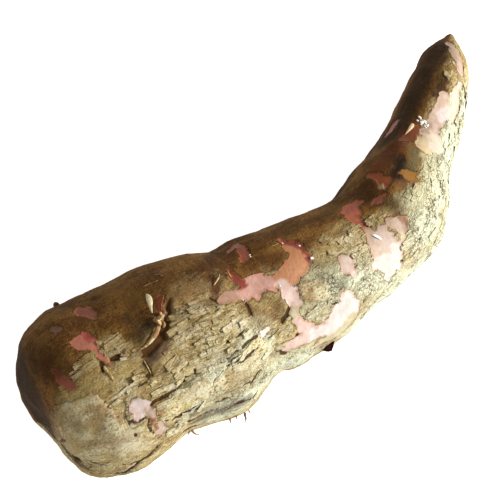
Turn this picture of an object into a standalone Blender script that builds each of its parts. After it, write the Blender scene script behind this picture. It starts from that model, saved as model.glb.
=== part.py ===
# Cassava root, lying on its side as it is set down on a table.
#
# The root grew as one piece, so it is one solid: a fat, bluntly ended body that tapers,
# bends in the plane of the table and ends in a thin tip held a little off the surface.
# Units are metres, +Z is up, +X runs from the fat end to the thin tip. The origin is on
# the table, under the middle of the root.

import math

import bmesh
import bpy
from mathutils import Vector

MM = 0.001

# ---- driving dimensions ------------------------------------------------------

# The backbone, from the fat end to the thin tip, in millimetres:
# x, y, radius of the root there, and height of its middle above the table.
STATIONS = [
    (-157.5, 18.8, 6.0, 38.0),    # middle of the blunt end
    (-154.0, 17.8, 21.5, 38.0),
    (-146.5, 15.3, 34.0, 38.5),   # where the end face rounds over
    (-135.5, 12.3, 39.8, 39.5),
    (-120.5, 8.3, 41.0, 40.4),    # thickest place
    (-100.5, 2.8, 40.0, 39.4),
    (-78.5, -3.2, 38.8, 38.2),
    (-56.5, -9.0, 35.2, 35.8),
    (-33.5, -14.6, 33.0, 33.8),
    (-8.5, -19.7, 30.3, 31.2),
    (17.5, -22.5, 27.4, 28.6),    # where the bend starts
    (38.5, -20.7, 27.8, 27.2),
    (58.5, -13.0, 25.2, 24.6),
    (80.5, -3.0, 21.8, 21.2),     # where the thin end starts
    (104.5, 8.0, 19.8, 19.4),
    (126.5, 18.6, 17.0, 16.8),
    (141.5, 26.2, 13.0, 16.5),
    (152.5, 32.0, 6.5, 16.0),
    (160.0, 36.0, 2.0, 15.5),     # tip
]

# Swellings and hollows of the surface, as if pressed by a thumb from inside or outside:
# x along the root, angle round it, reach along it, reach round it, and height.
# Millimetres and degrees; 0 degrees is the +Y flank, 90 the top and 180 the -Y flank.
LUMPS = [
    (-150.0, 20.0, 14.0, 60.0, 4.2),   # full corner of the blunt end
    (-150.0, 200.0, 10.0, 50.0, -1.8),  # and its worn opposite corner
    (-109.0, 28.0, 5.0, 12.0, 0.8),    # bud scar near the fat end
    (-82.0, 25.0, 16.0, 40.0, 1.0),
    (-115.0, 200.0, 10.0, 40.0, -1.8),  # shallow waist between two swellings
    (-83.0, 200.0, 12.0, 45.0, 3.2),   # heel of the second swelling
    (-60.0, 200.0, 8.0, 50.0, -3.0),   # crease just past that heel
    (-46.0, 40.0, 8.0, 35.0, -0.8),    # saddle on the other flank
    (-97.0, 100.0, 22.0, 40.0, 0.8),
    (-17.0, 110.0, 25.0, 40.0, 0.8),
    (48.0, 80.0, 18.0, 40.0, 1.0),
    (84.0, 200.0, 13.0, 45.0, -1.4),   # hollow of the bend where the thin end starts
    (118.0, 22.0, 16.0, 45.0, -1.5),
    (-12.0, 290.0, 30.0, 40.0, -1.5),  # hollow underneath, between the resting places
]

SIDES = 28              # points round the root
STEPS = 5               # rings from one station to the next
WELD = 0.01 * MM
ON_PLANE = 0.0001 * MM

# Slow ripples over the whole surface: lobes round the root, radians gained with each
# metre along it, and the angle it starts at.
RIPPLES = [(3.0, 55.0, 0.0), (2.0, -120.0, 1.0)]
RIPPLE_DEPTH = 0.5 * MM
PLAIN_END = 12.0 * MM   # nearer the backbone than this, at both ends, lumps fade out
SHARP_EDGE = math.radians(40.0)

BARK_COLOUR = (0.33, 0.26, 0.15, 1.0)
BARK_ROUGHNESS = 0.85


def clear_scene():
    for obj in list(bpy.data.objects):
        bpy.data.objects.remove(obj, do_unlink=True)


def new_collection(name):
    collection = bpy.data.collections.new(name)
    bpy.context.scene.collection.children.link(collection)
    return collection


def bark_material():
    material = bpy.data.materials.new("bark")
    material.use_nodes = True
    shader = material.node_tree.nodes["Principled BSDF"]
    shader.inputs["Base Color"].default_value = BARK_COLOUR
    shader.inputs["Roughness"].default_value = BARK_ROUGHNESS
    shader.inputs["Metallic"].default_value = 0.0
    return material


def backbone_curve(collection):
    """A smooth tube through the stations, as thick at each as its radius says."""
    curve = bpy.data.curves.new("backbone", "CURVE")
    curve.dimensions = "3D"
    curve.twist_mode = "Z_UP"
    curve.bevel_depth = MM                      # so a point's radius is in millimetres
    curve.bevel_resolution = SIDES // 2 - 2
    curve.resolution_u = STEPS
    curve.use_fill_caps = True
    spline = curve.splines.new("BEZIER")
    spline.radius_interpolation = "CARDINAL"
    spline.bezier_points.add(len(STATIONS) - 1)
    for point, (x, y, radius, height) in zip(spline.bezier_points, STATIONS):
        point.co = (x * MM, y * MM, height * MM)
        point.radius = radius
        point.handle_left_type = "AUTO"
        point.handle_right_type = "AUTO"
    tube = bpy.data.objects.new("backbone", curve)
    collection.objects.link(tube)
    return tube


def mesh_from_curve(tube, name, collection):
    """The tube as a closed mesh object: its end caps are welded on."""
    bpy.context.view_layer.update()
    evaluated = tube.evaluated_get(bpy.context.evaluated_depsgraph_get())
    mesh = bpy.data.meshes.new_from_object(evaluated)
    mesh.name = name
    root = bpy.data.objects.new(name, mesh)
    root.matrix_world = tube.matrix_world
    collection.objects.link(root)
    bpy.data.objects.remove(tube, do_unlink=True)
    shape = bmesh.new()
    shape.from_mesh(mesh)
    bmesh.ops.remove_doubles(shape, verts=shape.verts, dist=WELD)
    bmesh.ops.recalc_face_normals(shape, faces=shape.faces)
    shape.to_mesh(mesh)
    shape.free()
    return root


def station_near(x):
    """Where the backbone passes x: its y, its height, and its sideways direction."""
    for here, after in zip(STATIONS, STATIONS[1:]):
        if x <= after[0] * MM:
            break
    share = (x / MM - here[0]) / (after[0] - here[0])
    share = min(max(share, 0.0), 1.0)
    y, _, height = (a + (b - a) * share for a, b in zip(here[1:], after[1:]))
    along = Vector((after[0] - here[0], after[1] - here[1], 0.0)).normalized()
    return y * MM, height * MM, Vector((-along.y, along.x, 0.0))


def press_lumps(root):
    """Moves each point out or in by the lumps near it and by the slow ripple."""
    shape = bmesh.new()
    shape.from_mesh(root.data)
    shape.normal_update()
    moves = []
    for point in shape.verts:
        y, height, side = station_near(point.co.x)
        out = Vector((0.0, point.co.y - y, point.co.z - height))
        angle = math.degrees(math.atan2(out.z, out.dot(side)))
        rise = 0.0
        for x, around, reach, spread, lump in LUMPS:
            along_off = (point.co.x / MM - x) / reach
            round_off = ((angle - around + 180.0) % 360.0 - 180.0) / spread
            rise += lump * MM * math.exp(-(along_off ** 2) - round_off ** 2)
        for lobes, twist, start in RIPPLES:
            wave = lobes * math.radians(angle) + twist * point.co.x + start
            rise += RIPPLE_DEPTH * math.sin(wave)
        moves.append(point.normal * rise * min(out.length / PLAIN_END, 1.0))
    for point, move in zip(shape.verts, moves):
        point.co += move
    shape.to_mesh(root.data)
    shape.free()


def set_on_table(root):
    """Cuts the lowest skin off level, which leaves the flat places the root rests on."""
    shape = bmesh.new()
    shape.from_mesh(root.data)
    cut = bmesh.ops.bisect_plane(
        shape,
        geom=shape.verts[:] + shape.edges[:] + shape.faces[:],
        dist=ON_PLANE,
        plane_co=(0.0, 0.0, 0.0),
        plane_no=(0.0, 0.0, -1.0),
        clear_outer=True,
    )
    rim = [item for item in cut["geom_cut"] if isinstance(item, bmesh.types.BMEdge)]
    bmesh.ops.holes_fill(shape, edges=rim, sides=0)
    bmesh.ops.recalc_face_normals(shape, faces=shape.faces)
    shape.to_mesh(root.data)
    shape.free()


def centre_over_origin(root):
    """Slides the root along the table until its bounding box is centred on the origin."""
    points = [point.co for point in root.data.vertices]
    middle_x = (min(p.x for p in points) + max(p.x for p in points)) / 2
    middle_y = (min(p.y for p in points) + max(p.y for p in points)) / 2
    for point in root.data.vertices:
        point.co.x -= middle_x
        point.co.y -= middle_y


def build():
    clear_scene()
    collection = new_collection("cassava root")
    tube = backbone_curve(collection)
    root = mesh_from_curve(tube, "cassava_root", collection)
    press_lumps(root)
    set_on_table(root)
    centre_over_origin(root)
    root.data.materials.append(bark_material())
    root.data.shade_smooth()
    root.data.set_sharp_from_angle(angle=SHARP_EDGE)


build()
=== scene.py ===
import math
import random

import bpy
import numpy as np
from mathutils import Matrix, Quaternion, Vector, noise
from mathutils.bvhtree import BVHTree


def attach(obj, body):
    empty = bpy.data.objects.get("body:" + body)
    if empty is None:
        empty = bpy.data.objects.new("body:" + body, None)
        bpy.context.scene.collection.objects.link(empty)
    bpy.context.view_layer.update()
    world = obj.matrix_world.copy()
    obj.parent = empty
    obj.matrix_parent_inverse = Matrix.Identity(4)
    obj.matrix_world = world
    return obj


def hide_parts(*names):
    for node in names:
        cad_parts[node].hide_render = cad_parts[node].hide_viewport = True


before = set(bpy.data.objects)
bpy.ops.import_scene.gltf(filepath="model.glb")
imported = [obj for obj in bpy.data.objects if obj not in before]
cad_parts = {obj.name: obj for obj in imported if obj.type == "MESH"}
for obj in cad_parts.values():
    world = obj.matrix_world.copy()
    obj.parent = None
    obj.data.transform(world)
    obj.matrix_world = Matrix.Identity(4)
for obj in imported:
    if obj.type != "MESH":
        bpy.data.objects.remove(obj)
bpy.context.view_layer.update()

noise.seed_set(7)       # without this the noise vectors change from run to run
mm = 0.001
print("frame loaded")


# small helpers for the edit and modifier steps

def deselect():
    bpy.ops.object.select_all(action="DESELECT")


def selectOnly(piece):
    deselect()
    piece.select_set(True)
    bpy.context.view_layer.objects.active = piece


def editAll(piece):
    selectOnly(piece)
    bpy.ops.object.mode_set(mode="EDIT")
    bpy.ops.mesh.select_all(action="SELECT")


def leaveEdit():
    bpy.ops.object.mode_set(mode="OBJECT")


def useModifier(piece, kind, **settings):
    selectOnly(piece)
    modifier = piece.modifiers.new(kind.title(), kind)
    for name, value in settings.items():
        setattr(modifier, name, value)
    bpy.ops.object.modifier_apply(modifier=modifier.name)


def hexColour(code):
    parts = [int(code[i:i + 2], 16) / 255 for i in (0, 2, 4)]
    return tuple(p / 12.92 if p < 0.04045 else ((p + 0.055) / 1.055) ** 2.4 for p in parts)


def palette(codes):
    return {name: hexColour(code) for name, code in codes.items()}


def smoothStep(low, high, value):
    t = np.clip((value - low) / (high - low), 0, 1)
    return t * t * (3 - 2 * t)


def readVectors(items, name):
    flat = np.empty(len(items) * 3)
    items.foreach_get(name, flat)
    return flat.reshape(-1, 3)


def readNumbers(items, name):
    flat = np.empty(len(items), int)
    items.foreach_get(name, flat)
    return flat


# the root's own ruler: millimetres along its bent middle, degrees round it
# 0 degrees is the flank the tip bends towards, 90 the top, 180 the other flank, 270 the underside

ruler = {
    "middle": [(-157.5, 18.8, 38.0), (-154.0, 17.8, 38.0), (-146.5, 15.3, 38.5), (-135.5, 12.3, 39.5),
               (-120.5, 8.3, 40.4), (-100.5, 2.8, 39.4), (-78.5, -3.2, 38.2), (-56.5, -9.0, 35.8),
               (-33.5, -14.6, 33.8), (-8.5, -19.7, 31.2), (17.5, -22.5, 28.6), (38.5, -20.7, 27.2),
               (58.5, -13.0, 24.6), (80.5, -3.0, 21.2), (104.5, 8.0, 19.4), (126.5, 18.6, 16.8),
               (141.5, 26.2, 16.5), (152.5, 32.0, 16.0), (160.0, 36.0, 15.5)],
    "beyond": 30,       # mm the middle line runs on past each end
    "ease": 10,         # mm each way that its bends are eased over
    "batch": 20000,     # points measured at a time
}


def runAlong(line):
    return np.r_[0, np.cumsum(np.linalg.norm(np.diff(line, axis=0), axis=1))]


def makeMiddle():
    line = np.array(ruler["middle"])
    back, on = line[0] - line[2], line[-1] - line[-3]
    first = line[0] + back / np.linalg.norm(back) * ruler["beyond"]
    last = line[-1] + on / np.linalg.norm(on) * ruler["beyond"]
    line = np.vstack([first, line, last])
    run = runAlong(line)
    marks = np.arange(0, run[-1], 1.0)
    line = np.stack([np.interp(marks, run, line[:, axis]) for axis in range(3)], 1)
    ease = ruler["ease"]
    kernel = np.ones(2 * ease + 1) / (2 * ease + 1)
    for _ in range(2):
        padded = np.vstack([2 * line[0] - line[ease:0:-1], line, 2 * line[-1] - line[-2:-ease - 2:-1]])
        line = np.stack([np.convolve(padded[:, axis], kernel, "valid") for axis in range(3)], 1)
    ahead = np.gradient(line, axis=0)[:, :2]
    ahead /= np.linalg.norm(ahead, axis=1)[:, None]
    return line, ahead, runAlong(line) - ruler["beyond"]


middle, heading, alongMiddle = makeMiddle()


def straighten(points):
    # each point as (mm along, mm to the side, mm above the middle), as if the root were straight
    result = np.empty((len(points), 3))
    for start in range(0, len(points), ruler["batch"]):
        batch = slice(start, start + ruler["batch"])
        part = points[batch]
        gap = (part[:, None, 0] - middle[None, :, 0]) ** 2 + (part[:, None, 1] - middle[None, :, 1]) ** 2
        near = gap.argmin(1)
        off = part - middle[near]
        ahead = heading[near]
        result[batch, 0] = alongMiddle[near] + (off[:, :2] * ahead).sum(1)
        result[batch, 1] = off[:, 1] * ahead[:, 0] - off[:, 0] * ahead[:, 1]
        result[batch, 2] = off[:, 2]
    return result


def anglesRound(straightened):
    return np.degrees(np.arctan2(straightened[:, 2], straightened[:, 1]))


def spotOn(tree, along, degrees):
    # the point of the surface at this place of the ruler, with the way it faces
    at = [np.interp(along, alongMiddle, middle[:, axis]) for axis in range(3)]
    ahead = [np.interp(along, alongMiddle, heading[:, axis]) for axis in range(2)]
    across = math.cos(math.radians(degrees))
    out = Vector((-ahead[1] * across, ahead[0] * across, math.sin(math.radians(degrees)))).normalized()
    hit, normal, _, _ = tree.ray_cast(Vector(at), out)
    if normal.dot(out) < 0:
        normal = -normal
    return hit, normal


def strokeReach(tree, stroke, points):
    # how far each point lies outside a brush stroke, below 0 inside it
    # a stroke is (along, degrees, half width) at each turn, or (along, degrees) for a bare line
    spots = [np.array(spotOn(tree, s[0], s[1])[0]) for s in stroke]
    widths = [s[2] if len(s) > 2 else 0 for s in stroke]
    if len(spots) == 1:
        return np.linalg.norm(points - spots[0], axis=1) - widths[0]
    best = np.full(len(points), 1e3)
    for i in range(len(spots) - 1):
        a, b = spots[i], spots[i + 1]
        t = np.clip(((points - a) @ (b - a)) / ((b - a) @ (b - a)), 0, 1)
        gap = np.linalg.norm(points - a - t[:, None] * (b - a), axis=1)
        best = np.minimum(best, gap - widths[i] - (widths[i + 1] - widths[i]) * t)
    return best


def fractalField(points, scale, octaves, seed):
    places = (points / np.array(scale) + seed).tolist()
    return np.array([noise.fractal(p, 0.9, 2.1, octaves) for p in places])


def vectorField(points, scale, seed):
    places = (points / np.array(scale) + seed).tolist()
    return np.array([noise.noise_vector(p)[:] for p in places])


# the bark: one closed skin, with its relief, the places where it is scraped off, and its cracks

bark = {
    "voxel": 0.96,          # mm between neighbouring points of the skin
    "lumps": 0.8,           # mm, wide swells
    "layers": 0.36,         # mm, the stepped layers of flaking cork
    "layerCount": 3.2,      # how many layers lie on each other
    "plates": 0.28,         # mm, how far one plate stands over the next
    "gaps": 0.28,           # mm, the gaps between plates
    "crumbs": 0.12,         # mm, the finest crumbling
    "slits": 0.14,          # mm, short slits along the root
    "opened": 0.5,          # share of each crack's depth that is pressed in
    "scraped": 0.3,         # mm of bark gone where the flesh shows
    "ragged": 1.2,          # mm by which the scraped edges wander
    "frayed": 1.2,          # mm by which they wander more finely
    "jagged": 1.1,          # mm by which shards of bark jump out of line
    "bent": 0.9,            # mm by which the cracks bend
    "spread": 0.1,          # mm added all round each scraped place
    "endsAt": (318, 330),   # mm along, where the relief fades towards the tip
}

outlines = [        # where the root swells or narrows: degrees round, then (mm along, mm)
    (30, [(-12, -1.5), (0, -0.5), (15, 0.4), (25, 1.3), (34, -0.7), (45, -1.5), (55, -0.8), (66, 0.7),
          (95, 0.8), (105, -0.8), (115, 0.7), (135, 0), (155, -0.7), (175, -1.2), (186, -0.7), (198, 0.4),
          (213, 0.8), (225, -0.7), (237, -1.2), (250, -0.7), (265, -1.3), (277, -1.8), (287, -1.5),
          (297, 0), (325, 0.6)]),
    (190, [(-12, -1.5), (4, -1.8), (14, 1.2), (24, 2.0), (36, 0.8), (47, 0.3), (56, -0.8), (72, -0.8),
           (85, 0.3), (96, -1), (105, -1.1), (115, 0.2), (126, -0.8), (136, 1.0), (147, 1.2), (156, -0.8),
           (166, -1.3), (175, 0.8), (195, 0.8), (205, 0.2), (226, 0.2), (236, -1.1), (262, -0.8),
           (275, 0.6), (287, 0.2), (296, -0.6), (306, 0.2)]),
]

fleshColours = palette({
    "salmon": "c08470", "peach": "b0927e", "rose": "b06258", "brick": "ac6a52",
    "wine": "924a40", "rust": "a6603a", "umberRed": "7e4a2a", "beige": "c6b898",
    "amber": "c09060", "ochre": "987438", "dusty": "8c6c54", "terracotta": "b98a68",
    "mauve": "c19c90", "fawn": "b4a08e", "blush": "bcaca0", "pale": "ccb8b0",
    "palePink": "d6cbc7", "cream": "ccc2b2", "wax": "bab498", "rub": "98604a",
    "rosy": "ccbaaa", "milk": "cec4be",
})

scrapes = [     # colour of the flesh, then the brush stroke: mm along, degrees round, half width in mm
    ("rub", [(36, 57, 2.2), (39, 61, 3.4), (40, 67, 3.2)]),
    ("dusty", [(22, 64, 1.3), (24, 69, 1.5)]),
    ("salmon", [(27, 82, 2.4), (30, 85, 3.4), (33, 86, 2.6)]),
    ("rose", [(33, 81, 1.9), (34, 85, 1.6)]),
    ("salmon", [(33, 90, 1.8), (34, 96, 1.5), (34, 102, 1.4)]),
    ("terracotta", [(34, 102, 1.2), (35, 106, 0.9)]),
    ("umberRed", [(14, 88, 0.9), (15, 94, 1.8), (16, 99, 2.4)]),
    ("rub", [(16, 100, 2.2), (17, 105, 2.0)]),
    ("palePink", [(37, 133, 2.4), (41, 135, 2.4), (41, 138, 2.0), (37, 137, 2.6)]),
    ("palePink", [(36, 141, 1.5), (39, 141, 1.3)]),
    ("blush", [(42, 140, 1.3), (42, 146, 1.3)]),
    ("rub", [(40, 146, 0.6), (41, 151, 0.7), (41, 155, 0.6)]),
    ("blush", [(43, 158, 2.6), (44, 154, 2.0)]),
    ("brick", [(110, 57, 1.3), (115, 54, 2.0), (116, 62, 2.0), (115, 69, 2.3), (113, 76, 1.7)]),
    ("peach", [(91, 99, 1.7), (95, 99, 2.6), (100, 100, 3.0), (104, 101, 3.2)]),
    ("mauve", [(104, 101, 3.0), (109, 97, 3.4), (112, 98, 4.2), (116, 101, 4.2), (119, 102, 3.2)]),
    ("mauve", [(108, 103, 3.0), (108, 109, 1.2)]),
    ("wine", [(104, 77, 0.7), (104, 84, 1.9), (104, 89, 2.5), (105, 93, 2.0)]),
    ("amber", [(103, 79, 0.4), (101, 87, 0.6)]),
    ("brick", [(132, 71, 0.7), (135, 75, 1.8), (135, 82, 2.4)]),
    ("terracotta", [(134, 84, 2.4), (136, 90, 4.0), (136, 96, 4.6), (132, 101, 4.4), (128, 104, 3.8),
                    (125, 106, 3.0)]),
    ("terracotta", [(132, 94, 2.6), (127, 99, 2.8), (122, 101, 2.6)]),
    ("wine", [(135, 74, 0.8), (138, 80, 1.4), (139, 88, 1.3), (140, 96, 0.9), (139, 101, 0.7)]),
    ("pale", [(121, 107, 2.4), (122, 112, 3.4), (123, 118, 3.8), (123, 124, 3.2)]),
    ("wax", [(121, 130, 2.0), (120, 136, 2.4)]),
    ("palePink", [(102, 133, 1.8), (106, 133, 1.6)]),
    ("pale", [(121, 140, 1.8), (122, 148, 3.0), (124, 156, 3.6)]),
    ("pale", [(111, 156, 2.4), (117, 158, 2.8), (124, 160, 3.2)]),
    ("palePink", [(127, 160, 3.6), (133, 159, 4.4), (140, 153, 4.8), (145, 147, 4.4), (147, 143, 3.4)]),
    ("palePink", [(145, 142, 1.8), (145, 135, 1.0)]),
    ("palePink", [(134, 165, 3.4), (141, 162, 4.2), (147, 155, 3.6)]),
    ("wax", [(127, 173, 2.2), (134, 174, 2.6), (140, 170, 2.4), (146, 163, 2.0)]),
    ("blush", [(153, 113, 2.4), (154, 119, 3.4), (154, 125, 2.6)]),
    ("blush", [(157, 117, 2.2), (151, 120, 2.2)]),
    ("brick", [(172, 74, 2.4), (178, 71, 3.6), (183, 71, 2.4)]),
    ("brick", [(173, 80, 3.4), (177, 82, 2.8)]),
    ("brick", [(173, 86, 2.4), (173, 96, 1.7), (173, 103, 1.6)]),
    ("rub", [(175, 85, 1.0), (175, 88, 0.8)]),
    ("rub", [(187, 85, 1.5), (190, 88, 1.9), (193, 89, 1.2)]),
    ("fawn", [(173, 106, 2.4), (172, 116, 3.6), (171, 128, 3.8)]),
    ("blush", [(178, 115, 3.8), (177, 125, 4.8), (176, 134, 4.6)]),
    ("fawn", [(184, 111, 2.4), (187, 116, 3.0), (186, 124, 3.2)]),
    ("dusty", [(189, 113, 0.9), (190, 120, 1.3), (189, 128, 0.9)]),
    ("wax", [(184, 131, 2.2)]),
    ("milk", [(180, 136, 3.4), (178, 143, 3.4)]),
    ("milk", [(167, 135, 2.8), (172, 141, 4.0), (171, 149, 3.8), (169, 154, 2.6)]),
    ("milk", [(175, 145, 3.4), (176, 151, 2.2)]),
    ("umberRed", [(69, 80, 1.6), (67, 85, 2.0), (65, 90, 1.6)]),
    ("rust", [(203, 64, 2.4), (204, 71, 3.2), (202, 80, 3.0), (199, 85, 1.9)]),
    ("fawn", [(198, 80, 0.8), (196, 85, 0.6)]),
    ("ochre", [(211, 93, 2.6), (211, 99, 3.6), (212, 105, 2.8)]),
    ("dusty", [(208, 106, 1.4)]),
    ("umberRed", [(247, 88, 2.2), (242, 84, 3.0), (236, 79, 3.4)]),
    ("brick", [(253, 51, 1.4), (247, 49, 2.3), (242, 46, 1.8)]),
    ("beige", [(233, 98, 2.6), (238, 100, 3.4), (243, 102, 3.2)]),
    ("beige", [(232, 106, 2.2), (236, 107, 2.8)]),
    ("rosy", [(246, 102, 3.6), (256, 107, 4.6), (263, 108, 4.6), (269, 108, 3.8)]),
    ("cream", [(245, 112, 3.6), (241, 118, 4.6), (238, 116, 4.0)]),
    ("fawn", [(247, 96, 1.6), (252, 101, 2.0)]),
    ("rosy", [(266, 105, 2.2), (276, 108, 3.2), (271, 112, 3.2)]),
    ("palePink", [(262, 116, 3.4), (268, 126, 3.4)]),
    ("cream", [(266, 132, 2.6), (276, 130, 3.6), (283, 127, 3.0), (290, 130, 2.0)]),
    ("fawn", [(322, 90, 2.0), (314, 105, 2.8), (307, 116, 2.6)]),
    ("blush", [(304, 124, 1.8), (298, 126, 1.4)]),
    ("cream", [(302, 111, 1.1)]),
    ("salmon", [(58, 4, 2.4), (65, 0, 3.8), (70, -9, 2.6)]),
    ("peach", [(118, -22, 2.2), (126, -26, 3.2), (131, -20, 1.8)]),
    ("brick", [(168, 18, 1.4), (175, 12, 2.6)]),
    ("rub", [(214, -8, 1.8), (222, -14, 2.8)]),
    ("fawn", [(262, 8, 1.4), (268, 0, 2.2)]),
    ("blush", [(88, 232, 2.4), (96, 238, 3.6), (104, 236, 2.0)]),
    ("fawn", [(178, 222, 2.0), (187, 228, 3.2)]),
]

cracks = [      # depth in mm, then the line: mm along, degrees round, half width in mm
    (2.0, [(42, 140, 0.6), (46, 137, 0.8), (51, 138, 1.0), (57, 137, 1.0), (62, 134, 0.8), (68, 134, 0.5)]),
    (1.2, [(80, 140, 0.7), (87, 139, 0.8)]),
    (1.4, [(91, 133, 0.4), (93, 132, 0.8), (99, 132, 0.8)]),
    (0.9, [(85, 126, 0.6), (90, 125, 0.6), (96, 124, 0.4)]),
    (1.0, [(89, 134, 0.6), (93, 133, 0.6)]),
    (1.1, [(66, 161, 0.5), (73, 164, 0.6), (81, 165, 0.6)]),
    (0.9, [(84, 160, 0.5), (88, 161, 0.6)]),
    (1.6, [(46, 153, 0.4), (54, 157, 0.9), (63, 159, 0.6)]),
    (1.6, [(52, 165, 0.5), (58, 168, 0.9), (64, 169, 0.6), (71, 172, 0.4)]),
    (1.5, [(77, 175, 0.5), (82, 177, 1.0), (89, 181, 0.6)]),
    (1.4, [(88, 163, 0.6), (92, 160, 0.8), (96, 158, 0.4)]),
    (1.6, [(36, 177, 0.6), (28, 174, 0.9), (23, 172, 0.5)]),
    (1.4, [(48, 178, 0.5), (56, 179, 0.8), (62, 184, 0.7), (68, 187, 0.4)]),
    (1.2, [(83, 142, 0.4), (89, 142, 0.8), (97, 140, 0.5)]),
    (1.0, [(79, 135, 0.4), (86, 134, 0.6), (95, 132, 0.4)]),
    (0.9, [(92, 166, 0.5), (97, 167, 0.5)]),
    (0.8, [(89, 180, 0.4), (94, 177, 0.5)]),
    (1.0, [(40, 124, 0.7), (45, 124, 0.5), (49, 122, 0.7)]),
    (2.6, [(20, 188, 1.3), (26, 183, 1.2), (29, 177, 1.1), (33, 176, 0.8), (40, 171, 0.6)]),
    (1.0, [(14, 180, 0.5), (18, 184, 0.7), (22, 187, 0.7)]),
    (1.6, [(6, 164, 1.2), (8, 166, 0.9)]),
    (0.9, [(10, 159, 0.5), (14, 165, 0.5)]),
    (0.8, [(25, 122, 0.5), (29, 123, 0.5)]),
    (0.8, [(67, 132, 0.6), (71, 131, 0.5)]),
    (0.7, [(88, 94, 0.7), (90, 101, 0.8)]),
    (0.7, [(152, 156, 0.4), (157, 154, 0.5)]),
    (0.8, [(50, 161, 0.4), (57, 160, 0.4)]),
    (1.6, [(102, 105, 0.9), (102, 111, 1.2), (101, 117, 0.9)]),
    (1.2, [(118, 107, 0.9), (118, 109, 0.7)]),
    (1.8, [(121, 123, 1.0), (117, 130, 1.6), (114, 133, 1.2)]),
    (1.8, [(37, 102, 1.0), (40, 103, 1.5), (42, 102, 1.0)]),
    (1.0, [(46, 121, 0.6), (49, 122, 0.8), (49, 115, 0.5)]),
    (1.0, [(32, 101, 0.8), (32, 107, 0.9)]),
    (0.7, [(40, 146, 0.6), (39, 151, 0.6), (39, 157, 0.6)]),
    (0.7, [(33, 141, 0.7), (36, 144, 0.7), (39, 144, 0.6)]),
    (0.9, [(32, 142, 1.1)]),
    (0.8, [(32, 152, 0.9)]),
    (1.0, [(118, 150, 0.8), (118, 154, 0.8)]),
    (0.9, [(139, 140, 0.8), (141, 144, 0.8)]),
    (1.0, [(106, 152, 1.1), (110, 162, 1.2)]),
    (1.0, [(179, 150, 0.9)]),
    (0.5, [(176, 143, 0.4), (179, 149, 0.5)]),
    (1.0, [(175, 93, 0.8), (176, 103, 0.8)]),
    (0.8, [(102, 138, 0.5), (107, 139, 0.5)]),
    (0.7, [(155, 127, 0.4), (159, 122, 0.5)]),
    (0.9, [(246, 94, 0.5), (237, 94, 0.7), (232, 94, 0.6)]),
    (0.9, [(291, 145, 0.6), (286, 150, 0.6)]),
    (0.8, [(305, 129, 0.5), (302, 137, 0.5)]),
    (0.9, [(246, 138, 0.5), (252, 142, 0.5)]),
    (1.0, [(38, -8, 0.5), (52, -14, 0.8), (66, -17, 0.5)]),
    (0.9, [(96, 12, 0.4), (106, 6, 0.7), (120, 4, 0.5)]),
    (0.9, [(150, -30, 0.5), (164, -34, 0.6)]),
    (0.8, [(200, 4, 0.5), (216, 8, 0.5)]),
    (1.1, [(60, 222, 0.6), (78, 226, 0.8), (92, 222, 0.5)]),
    (1.0, [(120, 214, 0.6), (138, 218, 0.7), (150, 216, 0.5)]),
    (0.9, [(206, 204, 0.5), (224, 208, 0.6), (240, 204, 0.4)]),
    (0.7, [(9, 10, 0.5), (14, 24, 0.6), (13, 40, 0.4)]),
    (0.7, [(160, -8, 0.4), (162, 6, 0.5)]),
]

smoothZones = [     # where the bark is worn smooth: half width and softness of the edge in mm, then the line
    (8.5, 1.5, [(11, 124), (12, 150)]),
    (8, 1.5, [(19, 124), (22, 146)]),
    (7.5, 1.5, [(24, 152), (32, 157), (38, 158)]),
    (5, 2, [(48, 151), (57, 148), (67, 147)]),
    (4.5, 2, [(77, 150), (86, 146), (98, 139)]),
    (14, 9, [(2, 60), (2, 95)]),
    (5, 3, [(130, 121), (136, 126)]),
]

bleached = [        # where the bark is palest, given in the same way
    (13, 12, [(196, 140), (212, 132), (232, 134), (256, 138)]),
    (7, 8, [(58, 150), (90, 142), (100, 136)]),
    (9, 10, [(132, 122), (150, 130), (170, 160)]),
    (8, 6, [(200, 112), (214, 118), (228, 116)]),
    (9, 9, [(148, 184), (172, 184), (198, 180), (216, 170), (250, 166), (284, 160)]),
    (8, 8, [(70, 176), (96, 172), (120, 182)]),
]

brownEdge = [       # mm along, and the degrees where the smooth brown skin ends
    (0, 120), (5, 118), (11, 106), (17, 99), (23, 96), (28, 93), (34, 90), (40, 88), (45, 94), (51, 98),
    (56, 92), (62, 96), (70, 84), (83, 70), (90, 80), (98, 78), (104, 92), (128, 94), (138, 88),
    (148, 90), (161, 80), (168, 86), (188, 93), (197, 97), (208, 106), (225, 102), (238, 94), (261, 88),
    (286, 96), (303, 92), (320, 86),
]

stainAndShadeColours = palette({
    "sootAndShade": "2c2012", "redBrown": "5a2c16", "plum": "76604e", "umber": "4a3216",
    "rub": "b4886a", "oliveGrey": "6c6244", "rust": "80502a", "straw": "a8955e",
    "tawny": "8c6642", "chalk": "c8c4b4", "honey": "c4b078",
})

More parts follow.
